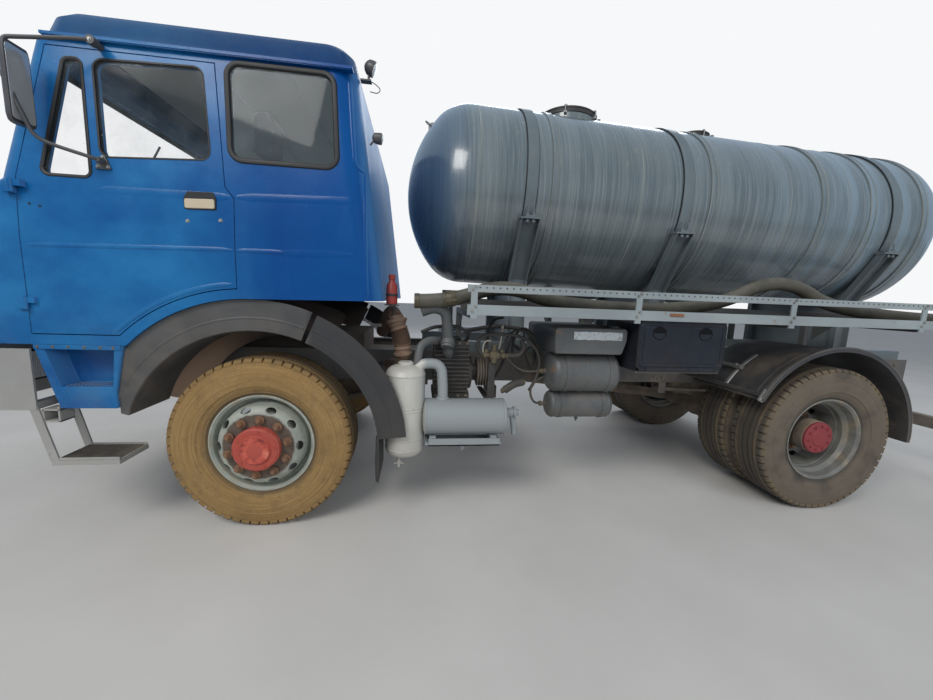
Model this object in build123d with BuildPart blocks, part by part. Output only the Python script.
from build123d import *
import math
import os

os.makedirs("parts", exist_ok=True)

# Overall: millimetres, front towards -X, ground at Z 0, x measured from the front axle in the sketches
front_overhang = 1410
wheelbase = 3800
rear_overhang = 1800
front_x = front_overhang - (front_overhang + wheelbase + rear_overhang) / 2
fit = 0.3
move = 5


def side(y):
    return Plane((front_x, y, 0), x_dir=(1, 0, 0), z_dir=(0, -1, 0))


def cross(x):
    return Plane((front_x + x, 0, 0), x_dir=(0, 1, 0), z_dir=(1, 0, 0))


def level(z):
    return Plane((front_x, 0, z))


def spot(x, y, z):
    return (front_x + x, y, z)


def box(x, y, z, mode=Mode.ADD):
    # A block from its low and high limits in x, y and z
    with Locations(spot(sum(x) / 2, sum(y) / 2, sum(z) / 2)):
        Box(x[1] - x[0], y[1] - y[0], z[1] - z[0], mode=mode)


def rod(start, end, radius, mode=Mode.ADD):
    # A round bar between two places
    a = Vector(*spot(*start))
    b = Vector(*spot(*end))
    with BuildSketch(Plane(a, z_dir=b - a)) as end_face:
        Circle(radius)
    extrude(end_face.sketch, amount=(b - a).length, mode=mode)


def other_side(part, label):
    with BuildPart() as twin:
        add(part)
        mirror(about=Plane.XZ, mode=Mode.REPLACE)
    twin.part.label = label
    return twin.part


def both_sides(part, label):
    with BuildPart() as pair:
        add(part)
        mirror(about=Plane.XZ)
    pair.part.label = label
    return pair.part


# Wheels and tyres
tyre_r = 522
tyre_half = 149
bead_r = 286
flange_r = 298.5
rim_half = 118
front_wheel_y = 1012
rear_outer_y = 1068
rear_inner_y = 723
disc_offset = 153
disc_t = 12
stud_ring_r = 167.5
hand_hole_r = 222

# Frame rails and their sub-frame
rail_y = 425
rail_flange = 75
rail_low = 760
rail_high = 1000
rail_t = 8
rail_front = -1150
rail_rear = 5450
sub_high = 1080
sub_front = 950
cross_members = [-1080, 1120, 2050, 3000, 4500, 5390]

# Axles, springs and steering
kingpin_y = 860
kingpin_r = 24.5
eye_r = 50
spring_y = rail_y - rail_flange / 2
spring_half = rail_flange / 2
spring_eye_z = 700
front_spring = {"x": 0, "reach": 700, "sag": 95, "leaves": 4}
rear_spring = {"x": wheelbase, "reach": 760, "sag": 28, "leaves": 5}
leaf_t = 13
track_arm = 190
track_y = kingpin_y
track_z = 395

# Cab
cab_half = 1220
cab_wall = 50
cab_low = 1110
arch_r = 856
tilt_x = -1325
tilt_z = 1120
door_front = -1045
door_rear = -62
door_low = 1166
door_arc_r = 912
hinge_y = -1236
hinge_z = [1290, 1850]
hinge_pin_r = 7

# Tank
tank_r = 705
tank_wall = 12
tank_seam = 1280
tank_length = 3750
tank_z = 2270
tank_tilt = 1.6
crown_r = 900
knuckle_r = 350
strap_x = [1680, 2875, 4720]
strap_w = 80
bracket_w = 140

# Hose tray
tray_y = 1200
tray_in = 850
tray_front = 1190
tray_rear = 5100
tray_floor = 1350
post_x = [1230, 2270, 3370, 4410]

# Frame rails with cross members, spring hangers, cab hinge ears and rear bar
with BuildPart() as half_frame:
    box((rail_front, rail_rear), (rail_y - rail_t, rail_y), (rail_low, rail_high))
    for low in (rail_low, rail_high - rail_t):
        box((rail_front, rail_rear), (rail_y - rail_flange, rail_y), (low, low + rail_t))
    for x in cross_members:
        box((x - 30, x + 30), (0, rail_y - 1), (rail_high - 110, rail_high - rail_t))
    for spring in (front_spring, rear_spring):
        for end in (-1, 1):
            x = spring["x"] + end * spring["reach"]
            for y in (spring_y - spring_half - 11, spring_y + spring_half + 1):
                box((x - 32, x + 32), (y, y + 10), (spring_eye_z - 35, rail_low))
            box((x - 32, x + 32), (spring_y - spring_half - 11, spring_y + spring_half + 11), (rail_low - 12, rail_low))
            rod((x, spring_y - spring_half - 11, spring_eye_z), (x, spring_y + spring_half + 11, spring_eye_z), 12)
    box((rail_rear - 8, rail_rear + 110), (rail_y - 8, rail_y), (430, rail_high))
    box((rail_rear + 70, rail_rear + 150), (0, 1150), (420, 520))
    with BuildSketch(Plane((front_x, rail_y + 45, 0), x_dir=(1, 0, 0), z_dir=(0, -1, 0))):
        with Locations((tilt_x, tilt_z)):
            Circle(20)
        Polygon((tilt_x - 14, tilt_z - 14), (tilt_x + 16, tilt_z + 12), (-1090, 1000), (-1090, 830), (-1150, 830), align=None)
    extrude(amount=30)
    box((-1150, -1090), (rail_y - 2, rail_y + 16), (830, 1000))
    rod((tilt_x, rail_y + 5, tilt_z), (tilt_x, rail_y + 55, tilt_z), 10)
chassis_frame = both_sides(half_frame.part, "chassis_frame")
export_step(chassis_frame, "parts/chassis_frame.step")


# Leaf springs, thinner leaves shorter towards the bottom, rolled eyes at the ends
def leaf_pack(spring):
    with BuildPart() as pack:
        for row in range(spring["leaves"]):
            reach = spring["reach"] * (1 - 0.19 * row)
            rise = spring["sag"] * (reach / spring["reach"]) ** 2
            top = spring_eye_z - spring["sag"] - row * leaf_t
            with BuildSketch(side(-spring_y + spring_half)):
                with BuildLine():
                    x = spring["x"]
                    ThreePointArc((x - reach, top + rise), (x, top), (x + reach, top + rise))
                    Line((x + reach, top + rise), (x + reach, top + rise - leaf_t))
                    ThreePointArc((x + reach, top + rise - leaf_t), (x, top - leaf_t), (x - reach, top + rise - leaf_t))
                    Line((x - reach, top + rise - leaf_t), (x - reach, top + rise))
                make_face()
            extrude(amount=2 * spring_half)
        for end in (-1, 1):
            x = spring["x"] + end * spring["reach"]
            rod((x, -spring_y + spring_half, spring_eye_z), (x, -spring_y - spring_half, spring_eye_z), 24)
            rod((x, -spring_y + spring_half, spring_eye_z), (x, -spring_y - spring_half, spring_eye_z), 12.5, mode=Mode.SUBTRACT)
    return pack.part


# Front axle: dropped I-beam with kingpin eyes, seats and springs
beam_top = [(-kingpin_y, 572), (-760, 572), (-560, 470), (560, 470), (760, 572), (kingpin_y, 572)]
beam_low = [(kingpin_y, 472), (740, 472), (545, 370), (-545, 370), (-740, 472), (-kingpin_y, 472)]
with BuildPart() as front_axle:
    with BuildSketch(cross(-45)):
        Polygon(*beam_top, *beam_low, align=None)
    extrude(amount=90)
    for x in (-46, 16):
        with BuildSketch(cross(x)):
            Polygon(*beam_top, *beam_low, align=None)
            offset(amount=-18, kind=Kind.INTERSECTION)
        extrude(amount=30, mode=Mode.SUBTRACT)
    for y in (-kingpin_y, kingpin_y):
        rod((0, y, 455), (0, y, 590), eye_r)
        rod((0, y, 450), (0, y, 600), kingpin_r + 0.5, mode=Mode.SUBTRACT)
    front_leaf_low = spring_eye_z - front_spring["sag"] - front_spring["leaves"] * leaf_t
    for y in (-spring_y, spring_y):
        box((-75, 75), (y - spring_half, y + spring_half), (440, front_leaf_low + 3))
        box((-75, 75), (y - spring_half - 6, y + spring_half + 6), (front_leaf_low + 50, front_leaf_low + 72))
    add(leaf_pack(front_spring))
    add(mirror(leaf_pack(front_spring), about=Plane.XZ))
front_axle.part.label = "front_axle"
export_step(front_axle.part, "parts/front_axle.step")

# Rear axle: banjo housing with pinion nose, spindles, seats and springs
with BuildPart() as rear_axle:
    rod((wheelbase, -980, tyre_r), (wheelbase, 980, tyre_r), 45)
    rod((wheelbase, -610, tyre_r), (wheelbase, 610, tyre_r), 75)
    with Locations(spot(wheelbase, 0, tyre_r)):
        Sphere(200)
    rod((wheelbase - 330, 0, tyre_r + 15), (wheelbase, 0, tyre_r + 15), 85)
    rear_leaf_low = spring_eye_z - rear_spring["sag"] - rear_spring["leaves"] * leaf_t
    for y in (-spring_y, spring_y):
        box((wheelbase - 75, wheelbase + 75), (y - spring_half, y + spring_half), (tyre_r + 40, rear_leaf_low + 3))
        box((wheelbase - 75, wheelbase + 75), (y - spring_half - 6, y + spring_half + 6), (rear_leaf_low + 62, rear_leaf_low + 82))
    add(leaf_pack(rear_spring))
    add(mirror(leaf_pack(rear_spring), about=Plane.XZ))
rear_axle.part.label = "rear_axle"
export_step(rear_axle.part, "parts/rear_axle.step")

# Steering knuckle with kingpin, spindle and track arm
with BuildPart() as knuckle_left:
    rod((0, -kingpin_y, 425), (0, -kingpin_y, 622), kingpin_r)
    for low, high in ((420, 450), (595, 625)):
        rod((0, -kingpin_y, low), (0, -kingpin_y, high), 45)
        box((-45, 45), (-945, -kingpin_y), (low, high))
    box((-45, 45), (-948, -918), (420, 625))
    rod((0, -946, tyre_r), (0, -1190, tyre_r), 40)
    with BuildSketch(level(420)):
        Polygon((0, -905), (track_arm + 25, -track_y - 25), (track_arm + 25, -track_y + 25), (-20, -825), align=None)
    extrude(amount=25)
    rod((track_arm, -track_y, 419), (track_arm, -track_y, 446), 10.4, mode=Mode.SUBTRACT)
knuckle_left.part.label = "knuckle_left"
export_step(knuckle_left.part, "parts/knuckle_left.step")
export_step(other_side(knuckle_left.part, "knuckle_right"), "parts/knuckle_right.step")

# Track rod between the two arms
with BuildPart() as track_rod:
    rod((track_arm, -track_y, track_z), (track_arm, track_y, track_z), 16)
    for y in (-track_y, track_y):
        rod((track_arm, y, track_z - 20), (track_arm, y, track_z + 20), 26)
        rod((track_arm, y, track_z), (track_arm, y, 455), 10)
track_rod.part.label = "track_rod"
export_step(track_rod.part, "parts/track_rod.step")


# Tyre: carcass with rounded shoulders, hollow inside
def tyre_ring(x, y):
    with BuildPart() as ring:
        with BuildSketch(Plane(spot(x, 0, tyre_r), x_dir=(0, -1, 0), z_dir=(-1, 0, 0))):
            with BuildLine():
                Polyline((y - 103.5, bead_r + 14), (y - 103.5, bead_r + 1.3), (y - 78, bead_r - 3))
                ThreePointArc((y - 78, bead_r - 3), (y - 131, 400), (y - 112, 490))
                Line((y - 112, 490), (y + 112, 490))
                ThreePointArc((y + 112, 490), (y + 131, 400), (y + 78, bead_r - 3))
                Polyline((y + 78, bead_r - 3), (y + 103.5, bead_r + 1.3), (y + 103.5, bead_r + 14), (y + 122, bead_r + 26))
                ThreePointArc((y + 122, bead_r + 26), (y + tyre_half, 395), (y + 138, 492))
                Polyline((y + 138, 492), (y + 122, 515), (y + 60, tyre_r), (y - 60, tyre_r), (y - 122, 515), (y - 138, 492))
                ThreePointArc((y - 138, 492), (y - tyre_half, 395), (y - 122, bead_r + 26))
                Line((y - 122, bead_r + 26), (y - 103.5, bead_r + 14))
            make_face()
        revolve(axis=Axis(spot(x, 0, tyre_r), (0, -1, 0)))
    return ring.part


# Rim barrel: across the wheel, outer and inner radius
barrel_rows = [
    (-118, 298.5, 290),
    (-107, 298.5, 279),
    (-104, 286, 277),
    (-72, 278, 269),
    (-50, 257, 249),
    (36, 257, 249),
    (62, 278, 269),
    (104, 286, 277),
    (107, 298.5, 279),
    (118, 298.5, 290),
]


def wheel_disc(x, y, face, turn):
    # Barrel and dished disc: face is the disc's outer plane, turn points from the barrel to it
    with BuildSketch(Plane(spot(x, 0, tyre_r), x_dir=(0, -1, 0), z_dir=(-1, 0, 0))) as section:
        outline = [(y + across, outer) for across, outer, inner in barrel_rows]
        outline += [(y + across, inner) for across, outer, inner in reversed(barrel_rows)]
        Polygon(*outline, align=None)
        edge = y + turn * 30
        with BuildLine():
            Polyline((edge - turn * 30, 252), (edge, 252), (face - turn * 42, 240))
            ThreePointArc((face - turn * 42, 240), (face - turn * 12, 222), (face, 192))
            Polyline((face, 192), (face, 120), (face - turn * disc_t, 120), (face - turn * disc_t, 188))
            ThreePointArc((face - turn * disc_t, 188), (face - turn * 22, 211), (face - turn * 50, 228))
            Polyline((face - turn * 50, 228), (edge - turn * 30, 240), (edge - turn * 30, 252))
        make_face()
    revolve(section.sketch, axis=Axis(spot(x, 0, tyre_r), (0, -1, 0)))


# Front wheel: disc wheel, drum, hub and cap, hand holes through the dish
with BuildPart() as wheel_front_left:
    face = front_wheel_y + disc_offset + disc_t
    wheel_disc(0, front_wheel_y, face, 1)
    rod((0, -face + disc_t + 30, tyre_r), (0, -face + disc_t, tyre_r), 202)
    rod((0, -face + disc_t + 180, tyre_r), (0, -face + disc_t, tyre_r), 202)
    rod((0, -face + disc_t + 181, tyre_r), (0, -face + disc_t + 30, tyre_r), 186, mode=Mode.SUBTRACT)
    rod((0, -face + disc_t + 175, tyre_r), (0, -1210, tyre_r), 75)
    rod((0, -face + 10, tyre_r), (0, -1222, tyre_r), 128)
    rod((0, -1221, tyre_r), (0, -1240, tyre_r), 78)
    rod((0, -900, tyre_r), (0, -1195, tyre_r), 41, mode=Mode.SUBTRACT)
    with BuildSketch(Plane(spot(0, -1300, tyre_r), x_dir=(1, 0, 0), z_dir=(0, -1, 0))):
        with PolarLocations(hand_hole_r, 10):
            Ellipse(16, 30)
    extrude(amount=-340, mode=Mode.SUBTRACT)
wheel_front_left.part.label = "wheel_front_left"
export_step(wheel_front_left.part, "parts/wheel_front_left.step")
export_step(other_side(wheel_front_left.part, "wheel_front_right"), "parts/wheel_front_right.step")
tyre_front_left = tyre_ring(0, front_wheel_y)
tyre_front_left.label = "tyre_front_left"
export_step(tyre_front_left, "parts/tyre_front_left.step")
export_step(other_side(tyre_front_left, "tyre_front_right"), "parts/tyre_front_right.step")

# Rear wheels: two discs back to back on one hub, drum inboard
with BuildPart() as wheel_rear_left:
    middle = (rear_outer_y + rear_inner_y) / 2
    wheel_disc(wheelbase, rear_outer_y, middle, -1)
    wheel_disc(wheelbase, rear_inner_y, middle, 1)
    rod((wheelbase, -640, tyre_r), (wheelbase, -middle, tyre_r), 202)
    rod((wheelbase, -630, tyre_r), (wheelbase, -middle + 40, tyre_r), 186, mode=Mode.SUBTRACT)
    rod((wheelbase, -650, tyre_r), (wheelbase, -1080, tyre_r), 118)
    rod((wheelbase, -1079, tyre_r), (wheelbase, -1100, tyre_r), 78)
    rod((wheelbase, -600, tyre_r), (wheelbase, -990, tyre_r), 46, mode=Mode.SUBTRACT)
    with BuildSketch(Plane(spot(wheelbase, -1300, tyre_r), x_dir=(1, 0, 0), z_dir=(0, -1, 0))):
        with PolarLocations(hand_hole_r, 10):
            Ellipse(16, 30)
    extrude(amount=-800, mode=Mode.SUBTRACT)
wheel_rear_left.part.label = "wheel_rear_left"
export_step(wheel_rear_left.part, "parts/wheel_rear_left.step")
export_step(other_side(wheel_rear_left.part, "wheel_rear_right"), "parts/wheel_rear_right.step")
with BuildPart() as tyre_rear_left:
    add(tyre_ring(wheelbase, rear_outer_y))
    add(tyre_ring(wheelbase, rear_inner_y))
tyre_rear_left.part.label = "tyre_rear_left"
export_step(tyre_rear_left.part, "parts/tyre_rear_left.step")
export_step(other_side(tyre_rear_left.part, "tyre_rear_right"), "parts/tyre_rear_right.step")

# Engine block, gearbox and propeller shaft
with BuildPart() as drivetrain:
    box((-560, 480), (-330, 330), (620, 1120))
    box((470, 1000), (-170, 170), (660, 960))
    rod((990, 0, 800), (wheelbase - 330 - 5.2, 0, tyre_r + 15), 45)
drivetrain.part.label = "drivetrain"
export_step(drivetrain.part, "parts/drivetrain.step")


# Cab block: rounded plans at the levels where its side view or front view bends, joined by ruled faces.
# Drawn in by an amount, it gives walls, doors and glass alike.
cab_levels = [
    (1060, -1334, 738, 1220),
    (1480, -1345, 689, 1220),
    (1650, -1330, 669, 1220),
    (1700, -1325, 663, 1217),
    (1880, -1235, 642, 1206.5),
    (1925, -1168, 636, 1204),
    (2590, -985, 557, 1165),
    (2612, -942, 555, 1160),
    (2710, -930, 528, 1120),
    (2760, -890, 490, 1070),
]
cab_corner = 120
roof_z = 2750


def cab_block(inset):
    with BuildPart() as block:
        for z, front, rear, half in cab_levels:
            with BuildSketch(level(z)):
                with Locations(((front + rear) / 2, 0)):
                    RectangleRounded(rear - front - 2 * inset, 2 * (half - inset), cab_corner - inset)
        loft(ruled=True)
        with BuildSketch(side(0)):
            with BuildLine():
                start = math.sqrt(arch_r**2 - (cab_low - tyre_r) ** 2)
                Polyline((0, tyre_r + arch_r), (900, 1393), (900, roof_z), (-1600, roof_z), (-1600, cab_low), (-start, cab_low))
                mid = math.radians(112)
                ThreePointArc((-start, cab_low), (arch_r * math.cos(mid), tyre_r + arch_r * math.sin(mid)), (0, tyre_r + arch_r))
            make_face()
            if inset:
                offset(amount=-inset, kind=Kind.INTERSECTION)
        extrude(amount=1400, both=True, mode=Mode.INTERSECT)
    return block.part


# Door outline and window outlines in side view
def door_outline(grow):
    arc = door_arc_r - grow
    low = door_low - grow
    start = math.sqrt(arc**2 - (low - tyre_r) ** 2)
    rear = door_rear + grow
    end = tyre_r + math.sqrt(arc**2 - rear**2)
    lean = grow * 0.3
    with BuildLine() as line:
        Polyline((rear, end), (rear, 1896 + lean), (-104 + grow, 1950 + lean), (-140 + grow, 2548 + grow), (-888 - grow, 2548 + grow))
        Polyline((-888 - grow, 2548 + grow), (door_front - grow, 1930), (door_front - grow, low), (-start, low))
        ThreePointArc((-start, low), (-arc * 0.4, tyre_r + arc * math.sqrt(0.84)), (rear, end))
    return line.line


main_window = [(-676, 2048), (-163, 2075), (-192, 2528), (-692, 2512)]
quarter_window = [(-945, 1946), (-714, 1946), (-734, 2508), (-818, 2502)]
sleeper_window = [(-68, 2090), (460, 2090), (440, 2560), (-80, 2560)]
screen = [(-1060, 1955), (1060, 1955), (1000, 2535), (-1000, 2535)]


cab_outer = cab_block(0)
cab_inner = cab_block(cab_wall)

# Cab shell with door openings, windows, gutter and hinge notches
with BuildPart() as cab_shell:
    add(cab_outer)
    add(cab_inner, mode=Mode.SUBTRACT)
    for sign in (-1, 1):
        box((-890, 540), (min(sign * 1140, sign * 1190), max(sign * 1140, sign * 1190)), (2586, 2599))
    with BuildSketch(side(-1000)):
        add(door_outline(move))
        make_face()
    opening = extrude(amount=400, mode=Mode.SUBTRACT)
    add(mirror(opening, about=Plane.XZ), mode=Mode.SUBTRACT)
    with BuildSketch(side(-1000)):
        Polygon(*sleeper_window, align=None)
        fillet(vertices(), radius=60)
    opening = extrude(amount=400, mode=Mode.SUBTRACT)
    add(mirror(opening, about=Plane.XZ), mode=Mode.SUBTRACT)
    with BuildSketch(cross(-1400)):
        Polygon(*screen, align=None)
        fillet(vertices(), radius=70)
    extrude(amount=700, mode=Mode.SUBTRACT)
    for sign in (-1, 1):
        y = sign * (rail_y + 30)
        box((-1360, tilt_x + 85), (y - 22, y + 22), (cab_low - 5, tilt_z + 27), mode=Mode.SUBTRACT)
        rod((tilt_x, y - 30, tilt_z), (tilt_x, y + 30, tilt_z), 10.4, mode=Mode.SUBTRACT)
    for z in hinge_z:
        for sign in (-1, 1):
            y = -sign * hinge_y
            low, high = sorted((y, sign * 1206))
            rod((door_front - 2.5, y, z), (door_front - 2.5, y, z + 30), 12)
            rod((door_front - 2.5, y, z), (door_front - 2.5, y, z + 65), hinge_pin_r)
            box((door_front - 40, door_front - 2.5), (low, high), (z, z + 30))
cab_shell.part.label = "cab_shell"
export_step(cab_shell.part, "parts/cab_shell.step")

# Fixed cab glass: windscreen and sleeper windows
with BuildPart() as cab_glass:
    add(cab_block(20))
    add(cab_block(26), mode=Mode.SUBTRACT)
    with BuildPart(mode=Mode.INTERSECT):
        with BuildSketch(side(-1000)):
            Polygon(*sleeper_window, align=None)
            fillet(vertices(), radius=60)
            offset(amount=-fit)
        pane = extrude(amount=400)
        add(mirror(pane, about=Plane.XZ))
        with BuildSketch(cross(-1400)):
            Polygon(*screen, align=None)
            fillet(vertices(), radius=70)
            offset(amount=-fit)
        extrude(amount=700)
cab_glass.part.label = "cab_glass"
export_step(cab_glass.part, "parts/cab_glass.step")

# Door: whole thickness of the cab wall, main and quarter windows cut
with BuildPart() as door_left:
    add(cab_outer)
    add(cab_inner, mode=Mode.SUBTRACT)
    with BuildSketch(side(-1000)):
        add(door_outline(0))
        make_face()
    extrude(amount=400, mode=Mode.INTERSECT)
    with BuildSketch(side(-1000)):
        Polygon(*main_window, align=None)
        fillet(vertices(), radius=50)
    extrude(amount=400, mode=Mode.SUBTRACT)
    with BuildSketch(side(-1000)):
        Polygon(*quarter_window, align=None)
        fillet(vertices(), radius=35)
    extrude(amount=400, mode=Mode.SUBTRACT)
    for z in hinge_z:
        rod((door_front - 2.5, hinge_y, z + 30 + fit), (door_front - 2.5, hinge_y, z + 60), 12)
        box((door_front - 2.5, door_front + 40), (hinge_y, -1206), (z + 30 + fit, z + 60))
        rod((door_front - 2.5, hinge_y, z), (door_front - 2.5, hinge_y, z + 70), hinge_pin_r + fit, mode=Mode.SUBTRACT)
door_left.part.label = "door_left"
export_step(door_left.part, "parts/door_left.step")
export_step(other_side(door_left.part, "door_right"), "parts/door_right.step")

# Door glass
with BuildPart() as door_glass_left:
    add(cab_block(20))
    add(cab_block(26), mode=Mode.SUBTRACT)
    with BuildPart(mode=Mode.INTERSECT):
        for points, radius in ((main_window, 50), (quarter_window, 35)):
            with BuildSketch(side(-1000)):
                Polygon(*points, align=None)
                fillet(vertices(), radius=radius)
                offset(amount=-fit)
            extrude(amount=400)
door_glass_left.part.label = "door_glass_left"
export_step(door_glass_left.part, "parts/door_glass_left.step")
export_step(other_side(door_glass_left.part, "door_glass_right"), "parts/door_glass_right.step")

# Mirror: tubular arms from two door brackets to a tall head
with BuildPart() as mirror_left:
    rod((-645, -1215, 2556), (-925, -1322, 2484), 10)
    rod((-655, -1240, 2025), (-850, -1305, 2075), 10)
    rod((-850, -1305, 2075), (-925, -1322, 2300), 10)
    rod((-925, -1322, 2486), (-925, -1322, 2120), 10)
    box((-680, -615), (-1228, -1140), (2548, 2580))
    box((-690, -625), (-1250, -1150), (1995, 2055))
    with BuildSketch(level(2135)):
        with BuildLine():
            Line((-905, -1345), (-905, -1225))
            ThreePointArc((-905, -1225), (-960, -1285), (-905, -1345))
        make_face()
    extrude(amount=345)
    add(cab_block(-fit), mode=Mode.SUBTRACT)
mirror_left.part.label = "mirror_left"
export_step(mirror_left.part, "parts/mirror_left.step")
export_step(other_side(mirror_left.part, "mirror_right"), "parts/mirror_right.step")

# Seats and bunk, trimmed to the cab floor and walls
with BuildPart() as seats:
    for y in (-560, 560):
        box((-700, -230), (y - 240, y + 240), (1560, 1680))
        box((-620, -260), (y - 180, y + 180), (1200, 1565))
        box((-250, -120), (y - 240, y + 240), (1560, 2200))
        box((-240, -140), (y - 130, y + 130), (2195, 2380))
    box((120, 700), (-1100, 1100), (1400, 1760))
    add(cab_block(cab_wall + fit), mode=Mode.INTERSECT)
seats.part.label = "seats"
export_step(seats.part, "parts/seats.step")

# Dashboard with steering column and wheel
with BuildPart() as dashboard:
    box((-1400, -1010), (-1140, 1140), (1480, 1760))
    box((-1400, -1180), (-1100, 1100), (1160, 1500))
    rod((-1080, -560, 1620), (-880, -560, 1880), 28)
    with BuildSketch(Plane(spot(-880, -560, 1880), z_dir=(200, 0, 260))):
        Circle(225)
        Circle(200, mode=Mode.SUBTRACT)
        Rectangle(410, 40)
        Rectangle(40, 410)
    extrude(amount=12, both=True)
    add(cab_block(cab_wall + fit), mode=Mode.INTERSECT)
dashboard.part.label = "dashboard"
export_step(dashboard.part, "parts/dashboard.step")

# Step box under each door, with the tread in its recess
with BuildPart() as half_steps:
    with BuildSketch(side(-1000)):
        Polygon((-1058, cab_low), (-960, 765), (-690, 765), (-690, 860), (-640, cab_low), align=None)
    extrude(amount=215)
    with BuildSketch(side(-1100)):
        Polygon((-1010, 1085), (-950, 885), (-705, 885), (-685, 1085), align=None)
    extrude(amount=200, mode=Mode.SUBTRACT)
step_boxes = both_sides(half_steps.part, "step_boxes")
export_step(step_boxes, "parts/step_boxes.step")


# Front wheel arch in two pieces: on the cab ahead of the gap, on the chassis behind it
def arch_piece(start, end, outer):
    with BuildPart() as piece:
        for low, radius in ((1194, outer), (860, 686)):
            with BuildSketch(side(-low)):
                with BuildLine():
                    a = math.radians(start)
                    b = math.radians(end)
                    m = (a + b) / 2
                    ThreePointArc(
                        (680 * math.cos(a), tyre_r + 680 * math.sin(a)),
                        (680 * math.cos(m), tyre_r + 680 * math.sin(m)),
                        (680 * math.cos(b), tyre_r + 680 * math.sin(b)),
                    )
                    Line((680 * math.cos(b), tyre_r + 680 * math.sin(b)), (radius * math.cos(b), tyre_r + radius * math.sin(b)))
                    ThreePointArc(
                        (radius * math.cos(b), tyre_r + radius * math.sin(b)),
                        (radius * math.cos(m), tyre_r + radius * math.sin(m)),
                        (radius * math.cos(a), tyre_r + radius * math.sin(a)),
                    )
                    Line((radius * math.cos(a), tyre_r + radius * math.sin(a)), (680 * math.cos(a), tyre_r + 680 * math.sin(a)))
                make_face()
            extrude(amount=1200 - low)
    return piece.part


with BuildPart() as arch_front:
    add(arch_piece(68, 163, arch_r - 0.5))
    with BuildSketch(side(-500)):
        Polygon((-1200, 500), (-689.5, 500), (-689.5, 860), (-639.5, cab_low + 0.5), (-1200, cab_low + 0.5), align=None)
    extrude(amount=900, mode=Mode.SUBTRACT)
arch_fronts = both_sides(arch_front.part, "arch_fronts")
export_step(arch_fronts, "parts/arch_fronts.step")
with BuildPart() as arch_rear:
    add(arch_piece(4, 66, arch_r - 6))
    box((678, 686), (-1200, -860), (290, 575))
    rod((625, -rail_y, 890), (625, -1195, 890), 15)
arch_rears = both_sides(arch_rear.part, "arch_rears")
export_step(arch_rears, "parts/arch_rears.step")

# Bumper wrapped round the corners, brackets to the rails, hanging steps
with BuildPart() as front_bumper:
    with BuildSketch(level(760)):
        with Locations((-1410 + 400, 0)):
            Rectangle(800, 2450)
        fillet(vertices().sort_by(Axis.X)[:2], radius=150)
        offset(amount=-12, mode=Mode.SUBTRACT)
        with Locations((-1065 + 500, 0)):
            Rectangle(1000, 2600, mode=Mode.SUBTRACT)
    extrude(amount=325)
    for sign in (-1, 1):
        low, high = sorted((sign * (rail_y - 65), sign * rail_y))
        box((-1400, rail_front), (low, high), (790, 960))
        low, high = sorted((sign * 1000, sign * 1222))
        box((-1010, -700), (low, high), (452, 478))
        for y in (1003, 1212):
            low, high = sorted((sign * y, sign * (y + 10)))
            with BuildSketch(side(high)):
                Polygon((-1110, 800), (-1068, 800), (-985, 450), (-1027, 450), align=None)
            extrude(amount=high - low)
        low, high = sorted((sign * 1003, sign * 1220))
        box((-1110, -1068), (low, high), (762, 800))
        low, high = sorted((sign * 720, sign * 1000))
        box((-1420, -1390), (low, high), (850, 1010), mode=Mode.SUBTRACT)
front_bumper.part.label = "front_bumper"
export_step(front_bumper.part, "parts/front_bumper.step")

# Headlamps in the bumper
with BuildPart() as headlamps:
    for sign in (-1, 1):
        low, high = sorted((sign * (720 + fit), sign * (1000 - fit)))
        box((-1410, -1375), (low, high), (850 + fit, 1010 - fit))
headlamps.part.label = "headlamps"
export_step(headlamps.part, "parts/headlamps.step")

# Tank: laminated shell with domed heads, hoops, necks and an outlet
tank_plane = Plane(
    spot(tank_seam, 0, tank_z),
    x_dir=(math.cos(math.radians(tank_tilt)), 0, -math.sin(math.radians(tank_tilt))),
    z_dir=(0, -1, 0),
)
tank_axis = Axis(tank_plane.origin, tank_plane.x_dir)
head_run = math.sqrt((crown_r - knuckle_r) ** 2 - (tank_r - knuckle_r) ** 2)
head_turn = math.degrees(math.asin((tank_r - knuckle_r) / (crown_r - knuckle_r)))
head_depth = crown_r - head_run


def axis_z(x):
    return tank_z - (x - tank_seam) * math.tan(math.radians(tank_tilt))


def tank_at(s):
    origin = tank_plane.origin + tank_plane.x_dir * s
    return Plane(origin, x_dir=(0, 1, 0), z_dir=tank_plane.x_dir)


def tank_body(inset):
    crown = crown_r - inset
    knuckle = knuckle_r - inset
    with BuildPart() as body:
        with BuildSketch(tank_plane):
            with BuildLine():
                CenterArc((head_run, 0), crown, 180, -head_turn)
                CenterArc((0, tank_r - knuckle_r), knuckle, 180 - head_turn, head_turn - 90)
                Line((0, tank_r - inset), (tank_length, tank_r - inset))
                CenterArc((tank_length, tank_r - knuckle_r), knuckle, 90, head_turn - 90)
                CenterArc((tank_length - head_run, 0), crown, head_turn, -head_turn)
                Line((tank_length + head_depth - inset, 0), (-head_depth + inset, 0))
            make_face()
        revolve(axis=tank_axis)
    return body.part


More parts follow.
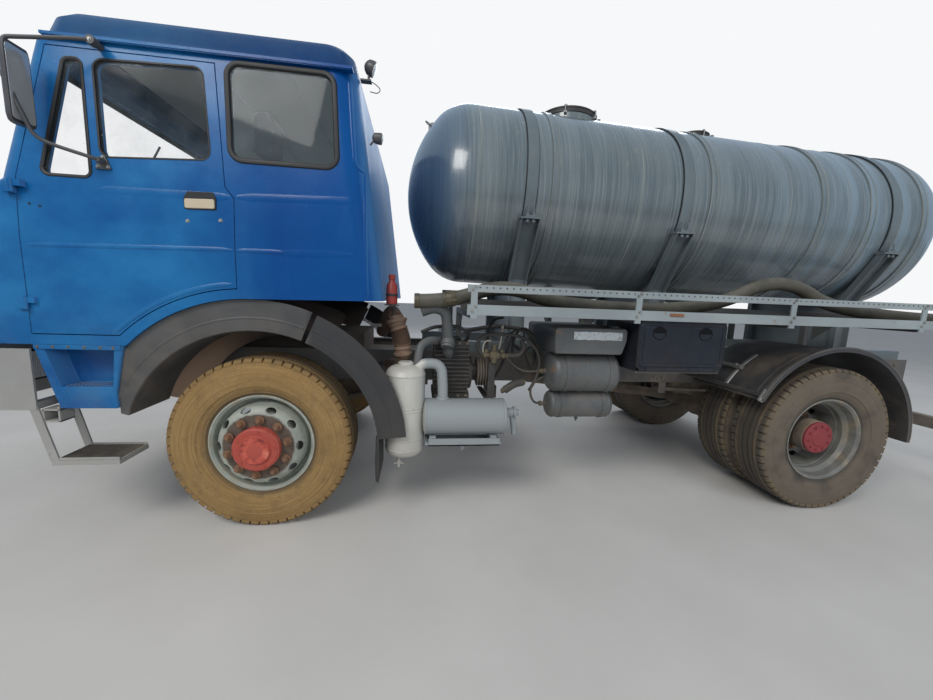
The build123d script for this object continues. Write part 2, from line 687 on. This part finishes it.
hoops = [570, 1810, 2770, 3220, 3720]
manholes = [("front", 865, 225), ("rear", 2070, 115)]
neck_high = 742
lid_t = 22
outlet_r = 50
with BuildPart() as tank:
    add(tank_body(0))
    for s in hoops:
        with BuildSketch(tank_at(s - 25)):
            Circle(tank_r + 6)
        extrude(amount=50)
    for name, s, radius in manholes:
        up = Plane(tank_plane.origin + tank_plane.x_dir * s, x_dir=tank_plane.x_dir, z_dir=tank_plane.y_dir)
        with BuildSketch(up.offset(600)):
            Circle(radius + 12)
        extrude(amount=neck_high - 600)
    with BuildSketch(tank_at(tank_length + 250)):
        with Locations((0, -330)):
            Circle(outlet_r + 9)
    extrude(amount=330)
    add(tank_body(tank_wall), mode=Mode.SUBTRACT)
    for name, s, radius in manholes:
        up = Plane(tank_plane.origin + tank_plane.x_dir * s, x_dir=tank_plane.x_dir, z_dir=tank_plane.y_dir)
        with BuildSketch(up.offset(500)):
            Circle(radius)
        extrude(amount=300, mode=Mode.SUBTRACT)
    with BuildSketch(tank_at(tank_length + 200)):
        with Locations((0, -330)):
            Circle(outlet_r)
    extrude(amount=400, mode=Mode.SUBTRACT)
    for name, s, radius in manholes:
        up = Plane(tank_plane.origin + tank_plane.x_dir * s, x_dir=tank_plane.x_dir, z_dir=tank_plane.y_dir)
        for y in (-60, 40):
            with BuildSketch(tank_plane.offset(y)):
                Polygon(
                    (s + radius + 5, neck_high - 30),
                    (s + radius + 5, neck_high - 6),
                    (s + radius + 28, neck_high - 6),
                    (s + radius + 28, neck_high + 26),
                    (s + radius + 52, neck_high + 26),
                    (s + radius + 52, neck_high - 30),
                    align=None,
                )
            extrude(amount=20)
        with BuildSketch(tank_plane.offset(-60)):
            with Locations((s + radius + 40, neck_high + 15)):
                Circle(5)
        extrude(amount=120)
tank.part.label = "tank"
export_step(tank.part, "parts/tank.step")

# Manhole lids with their hinge barrels
for name, s, radius in manholes:
    up = Plane(tank_plane.origin + tank_plane.x_dir * s, x_dir=tank_plane.x_dir, z_dir=tank_plane.y_dir)
    with BuildPart() as lid:
        with BuildSketch(up.offset(neck_high + fit)):
            Circle(radius + 22)
        extrude(amount=lid_t)
        with BuildSketch(tank_plane.offset(-34)):
            Polygon(
                (s + radius - 20, neck_high + 4),
                (s + radius - 20, neck_high + 26),
                (s + radius + 51, neck_high + 26),
                (s + radius + 51, neck_high + 4),
                align=None,
            )
            with Locations((s + radius + 40, neck_high + 15)):
                Circle(5.4, mode=Mode.SUBTRACT)
        extrude(amount=68)
    lid.part.label = "manhole_lid_" + name
    export_step(lid.part, "parts/manhole_lid_" + name + ".step")

# Sub-frame rails, saddles, side channels and straps
with BuildPart() as tank_cradles:
    for sign in (-1, 1):
        low, high = sorted((sign * (rail_y - rail_flange), sign * rail_y))
        box((sub_front, rail_rear), (low, high), (rail_high, sub_high))
    for x in strap_x:
        zc = axis_z(x)
        foot = sub_high - 55
        outline = [(-rail_y, foot), (-rail_y, zc - 670), (-676, zc - 260), (676, zc - 260), (rail_y, zc - 670), (rail_y, foot)]
        with BuildSketch(cross(x - 10)):
            Polygon(*outline, align=None)
        extrude(amount=20)
        for inner, outer, width in ((0, 50, bracket_w), (8, 52, bracket_w - 16)):
            with BuildSketch(cross(x - width / 2)) as flange:
                with BuildSketch(mode=Mode.ADD):
                    Polygon(*outline, align=None)
                    offset(amount=outer, kind=Kind.INTERSECTION)
                with BuildSketch(mode=Mode.SUBTRACT):
                    Polygon(*outline, align=None)
                    if inner:
                        offset(amount=inner, kind=Kind.INTERSECTION)
                with Locations((0, (foot + zc - 260) / 2)):
                    Rectangle(2000, zc - 260 - foot, mode=Mode.INTERSECT)
            extrude(amount=width, mode=Mode.SUBTRACT if inner else Mode.ADD)
    for x in strap_x:
        s = (x - tank_seam) / math.cos(math.radians(tank_tilt))
        with BuildSketch(tank_at(s - strap_w / 2)):
            Circle(tank_r + 11)
            with Locations((0, -800 - 400)):
                Rectangle(2000, 1600, mode=Mode.SUBTRACT)
        extrude(amount=strap_w)
    with BuildSketch(tank_at(-150)):
        Circle(tank_r + 0.5)
    extrude(amount=tank_length + 300, mode=Mode.SUBTRACT)
tank_cradles.part.label = "tank_cradles"
export_step(tank_cradles.part, "parts/tank_cradles.step")

# Hose tray on each side: posts, arms, floor and two rails
with BuildPart() as half_tray:
    for x in post_x:
        box((x - 20, x + 20), (-rail_y, -rail_y + 50), (sub_high, tray_floor))
        box((x - 20, x + 20), (-tray_y, -rail_y + 50), (tray_floor - 40, tray_floor))
        box((x - 20, x + 20), (-tray_y, -tray_y + 10), (tray_floor - 40, 1508))
    box((tray_front, tray_rear), (-tray_y + 8, -tray_in), (tray_floor, tray_floor + 4))
    box((tray_front, tray_rear), (-tray_y, -tray_y + 8), (tray_floor - 20, 1392))
    box((tray_front, tray_rear), (-tray_in - 8, -tray_in), (tray_floor, 1420))
    box((tray_front, tray_rear), (-tray_y, -tray_y + 8), (1465, 1508))
hose_trays = both_sides(half_tray.part, "hose_trays")
export_step(hose_trays, "parts/hose_trays.step")

# Suction hose lying in the left tray, arched over its rail twice
hose_r = 44
hose_z = tray_floor + 4 + hose_r + fit
hose_points = [
    (880, 0),
    (1090, 0),
    (1450, 131),
    (1810, 0),
    (2880, 0),
    (3410, 282),
    (3940, 0),
    (5000, 0),
]
hose_y = -1030
with BuildPart() as suction_hose:
    route = [Vector(front_x + x, hose_y, hose_z + rise) for x, rise in hose_points]
    radii = []
    for before, here, after in zip(route, route[1:], route[2:]):
        turn = (here - before).get_angle(after - here)
        run = min((here - before).length, (after - here).length)
        radii.append(0.45 * run / math.tan(math.radians(turn / 2)))
    with BuildLine() as path:
        FilletPolyline(*route, radius=radii)
    with BuildSketch(Plane(route[0], z_dir=route[1] - route[0])):
        Circle(hose_r)
    sweep()
suction_hose.part.label = "suction_hose"
export_step(suction_hose.part, "parts/suction_hose.step")

# Vacuum pump with cooling fins, pulley and its bracket
with BuildPart() as vacuum_pump:
    box((1010, 1270), (-880, -600), (730, 1140))
    for z in range(760, 1120, 30):
        box((1000, 1280), (-890, -865), (z, z + 14), mode=Mode.SUBTRACT)
    box((1040, 1240), (-610, -rail_y), (780, 960))
    rod((1260, -740, 900), (1420, -740, 900), 30)
    rod((1340, -740, 900), (1400, -740, 900), 105)
vacuum_pump.part.label = "vacuum_pump"
export_step(vacuum_pump.part, "parts/vacuum_pump.step")

# Oil and water separators with their pipes
with BuildPart() as separators:
    rod((835, -1040, 440), (835, -1040, 900), 124)
    with Locations(spot(835, -1040, 900)):
        Sphere(124)
    with Locations(spot(835, -1040, 440)):
        Sphere(124)
    box((700, 970), (-1200, -880), (270, 400), mode=Mode.SUBTRACT)
    rod((940, -1060, 655), (1500, -1060, 655), 115)
    rod((1140, -1040, 760), (1040, -960, 1300), 42)
    box((760, 800), (-1040, -rail_y), (800, 860))
    box((1100, 1140), (-1060, -rail_y), (640, 700))
    box((1100, 1140), (-rail_y - 12, -rail_y), (640, 779))
separators.part.label = "separators"
export_step(separators.part, "parts/separators.step")

# Air reservoirs and the flat tank above them
with BuildPart() as air_reservoirs:
    rod((1780, -950, 950), (2290, -950, 950), 138)
    rod((1800, -930, 715), (2280, -930, 715), 94)
    for x in (1900, 2200):
        box((x - 15, x + 15), (-940, -rail_y), (800, 840))
air_reservoirs.part.label = "air_reservoirs"
export_step(air_reservoirs.part, "parts/air_reservoirs.step")

with BuildPart() as box_tank:
    box((1780, 2240), (-1120, -rail_y - 90), (1095, 1290))
    box((1850, 1900), (-rail_y - 100, -rail_y), (1095, 1130))
    box((1850, 1900), (-rail_y - 40, -rail_y), (960, 1130))
box_tank.part.label = "box_tank"
export_step(box_tank.part, "parts/box_tank.step")

# Fuel tank on the right
with BuildPart() as fuel_tank:
    with BuildSketch(cross(1150)):
        with Locations((860, 830)):
            RectangleRounded(560, 520, 70)
    extrude(amount=1000)
    for x in (1300, 1950):
        box((x - 25, x + 25), (rail_y, 600), (700, 960))
fuel_tank.part.label = "fuel_tank"
export_step(fuel_tank.part, "parts/fuel_tank.step")

# Toolbox hung under the tray, its face hinged along the bottom
box_x = (2300, 2910)
box_y = (-1170, -760)
box_z = (1000, tray_floor)
box_wall = 6
lid_hinge = (-1182, 1010)
lid_top = 1322
with BuildPart() as toolbox:
    box(box_x, box_y, box_z)
    inside_x = (box_x[0] + box_wall, box_x[1] - box_wall)
    box(inside_x, (box_y[0] - 1, box_y[1] - box_wall), (box_z[0] + box_wall, lid_top - 12), mode=Mode.SUBTRACT)
    for x in (box_x[0] + 20, box_x[1] - 60):
        rod((x, lid_hinge[0], lid_hinge[1]), (x + 40, lid_hinge[0], lid_hinge[1]), 8)
        box((x, x + 40), (lid_hinge[0], box_y[0]), (lid_hinge[1] - 8, lid_hinge[1]))
    rod((box_x[0] + 20, lid_hinge[0], lid_hinge[1]), (box_x[1] - 20, lid_hinge[0], lid_hinge[1]), 4)
toolbox.part.label = "toolbox"
export_step(toolbox.part, "parts/toolbox.step")
with BuildPart() as toolbox_lid:
    box((box_x[0] + 3, box_x[1] - 3), (-1188, box_y[0] - 1), (lid_hinge[1] + 12, lid_top))
    rod((box_x[0] + 65, lid_hinge[0], lid_hinge[1]), (box_x[1] - 65, lid_hinge[0], lid_hinge[1]), 8)
    box((box_x[0] + 65, box_x[1] - 65), (-1188, lid_hinge[0]), (lid_hinge[1], lid_hinge[1] + 14))
    rod((box_x[0] + 60, lid_hinge[0], lid_hinge[1]), (box_x[1] - 60, lid_hinge[0], lid_hinge[1]), 4 + fit, mode=Mode.SUBTRACT)
toolbox_lid.part.label = "toolbox_lid"
export_step(toolbox_lid.part, "parts/toolbox_lid.step")

# Rear mudguards: one-piece arch with a rolled lip and two stays
guard_r = 640
with BuildPart() as half_guard:
    for low, high, outer in ((560, 1225, guard_r + 8), (1213, 1225, guard_r + 30)):
        with BuildSketch(side(-low)):
            with Locations((wheelbase, tyre_r)):
                Circle(outer)
                Circle(guard_r, mode=Mode.SUBTRACT)
            Polygon(
                (wheelbase, tyre_r),
                (wheelbase + 1500, tyre_r - 30),
                (wheelbase + 1500, tyre_r + 1500),
                (wheelbase - 1500, tyre_r + 1500),
                (wheelbase - 1500, tyre_r + 764),
                align=None,
                mode=Mode.INTERSECT,
            )
        extrude(amount=high - low)
    for turn in (150, 24):
        x = wheelbase + (guard_r + 20) * math.cos(math.radians(turn))
        z = tyre_r + (guard_r + 20) * math.sin(math.radians(turn))
        rod((x, -rail_y, z), (x, -1215, z), 15)
rear_mudguards = both_sides(half_guard.part, "rear_mudguards")
export_step(rear_mudguards, "parts/rear_mudguards.step")

# Tail lamps on the rear bar
with BuildPart() as tail_lamps:
    for y in (-1000, 1000):
        box((rail_rear + 100, rail_rear + 130), (y - 130, y + 130), (520, 650))
tail_lamps.part.label = "tail_lamps"
export_step(tail_lamps.part, "parts/tail_lamps.step")
